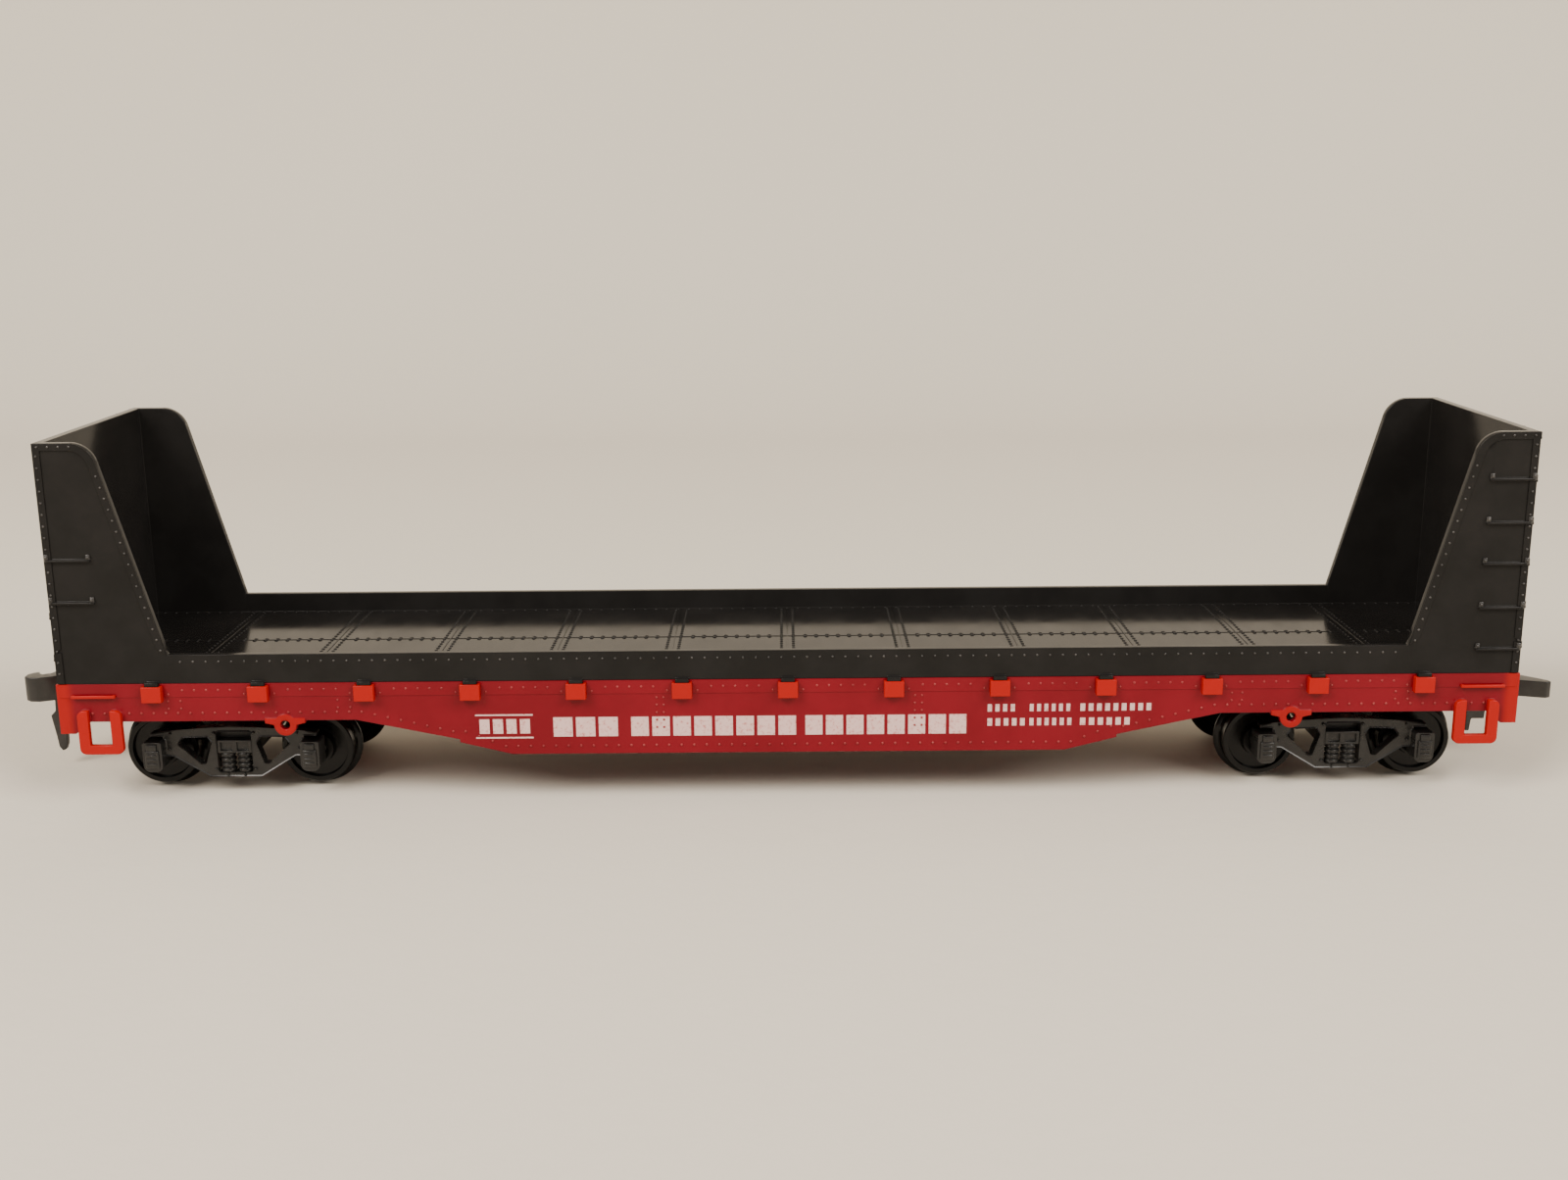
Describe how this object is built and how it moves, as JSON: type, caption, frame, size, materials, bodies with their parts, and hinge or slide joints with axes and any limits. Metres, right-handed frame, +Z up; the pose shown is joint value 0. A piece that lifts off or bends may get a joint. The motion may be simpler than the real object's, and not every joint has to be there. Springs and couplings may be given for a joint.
{
  "type": "model flat car",
  "caption": "Model railway flat car with a riveted deck between bulkhead ends, fishbelly side sills, stake pockets, swivelling four-wheel trucks and swinging couplers.",
  "frame": {"origin": "under the middle of the car, at the bottom of the wheel flanges", "axes": "+X along the car towards end b, +Y across the car, +Z up"},
  "size_m": [0.2082, 0.036, 0.0476],
  "materials": {
    "red_plastic": "moulded red styrene, satin",
    "black_plastic": "moulded black styrene, glossy on the deck",
    "truck_plastic": "black acetal, dull",
    "wheel_plastic": "black acetal, tread slightly polished",
    "coupler_plastic": "dark grey acetal",
    "axle_steel": "turned steel",
    "pin_steel": "bright steel",
    "weight_steel": "cold-rolled steel sheet"
  },
  "bodies": {
    "car_body": {"underframe": "red_plastic", "deck_body": "black_plastic", "ballast_weight": "weight_steel", "kingpin_a": "truck_plastic", "kingpin_b": "truck_plastic"},
    "truck_a": {"truck_frame_a": "truck_plastic", "coupler_lid_a": "truck_plastic", "coupler_pin_a": "pin_steel", "coupler_spring_a": "pin_steel"},
    "coupler_body_a": {"coupler_a": "coupler_plastic"},
    "wheelset_a1": {"axle_a1": "axle_steel", "wheel_a1_near": "wheel_plastic", "wheel_a1_far": "wheel_plastic"},
    "wheelset_a2": {"axle_a2": "axle_steel", "wheel_a2_near": "wheel_plastic", "wheel_a2_far": "wheel_plastic"},
    "truck_b": {"truck_frame_b": "truck_plastic", "coupler_lid_b": "truck_plastic", "coupler_pin_b": "pin_steel", "coupler_spring_b": "pin_steel"},
    "coupler_body_b": {"coupler_b": "coupler_plastic"},
    "wheelset_b1": {"axle_b1": "axle_steel", "wheel_b1_near": "wheel_plastic", "wheel_b1_far": "wheel_plastic"},
    "wheelset_b2": {"axle_b2": "axle_steel", "wheel_b2_near": "wheel_plastic", "wheel_b2_far": "wheel_plastic"}
  },
  "joints": [
    {"name": "truck_a_swivel", "type": "hinge", "parent": "car_body", "child": "truck_a", "pos_m": [-0.073, 0, 0.0095], "axis": [0, 0, 1], "range_deg": [-9, 9]},
    {"name": "coupler_a_swing", "type": "hinge", "parent": "truck_a", "child": "coupler_body_a", "pos_m": [-0.0885, 0, 0.011], "axis": [0, 0, 1], "range_deg": [-10, 10]},
    {"name": "wheelset_a1_roll", "type": "hinge", "parent": "truck_a", "child": "wheelset_a1", "pos_m": [-0.0833, 0, 0.00545], "axis": [0, 1, 0], "continuous": true},
    {"name": "wheelset_a2_roll", "type": "hinge", "parent": "truck_a", "child": "wheelset_a2", "pos_m": [-0.0627, 0, 0.00545], "axis": [0, 1, 0], "continuous": true},
    {"name": "truck_b_swivel", "type": "hinge", "parent": "car_body", "child": "truck_b", "pos_m": [0.073, 0, 0.0095], "axis": [0, 0, 1], "range_deg": [-9, 9]},
    {"name": "coupler_b_swing", "type": "hinge", "parent": "truck_b", "child": "coupler_body_b", "pos_m": [0.0885, 0, 0.011], "axis": [0, 0, 1], "range_deg": [-10, 10]},
    {"name": "wheelset_b1_roll", "type": "hinge", "parent": "truck_b", "child": "wheelset_b1", "pos_m": [0.0627, 0, 0.00545], "axis": [0, 1, 0], "continuous": true},
    {"name": "wheelset_b2_roll", "type": "hinge", "parent": "truck_b", "child": "wheelset_b2", "pos_m": [0.0833, 0, 0.00545], "axis": [0, 1, 0], "continuous": true}
  ]
}
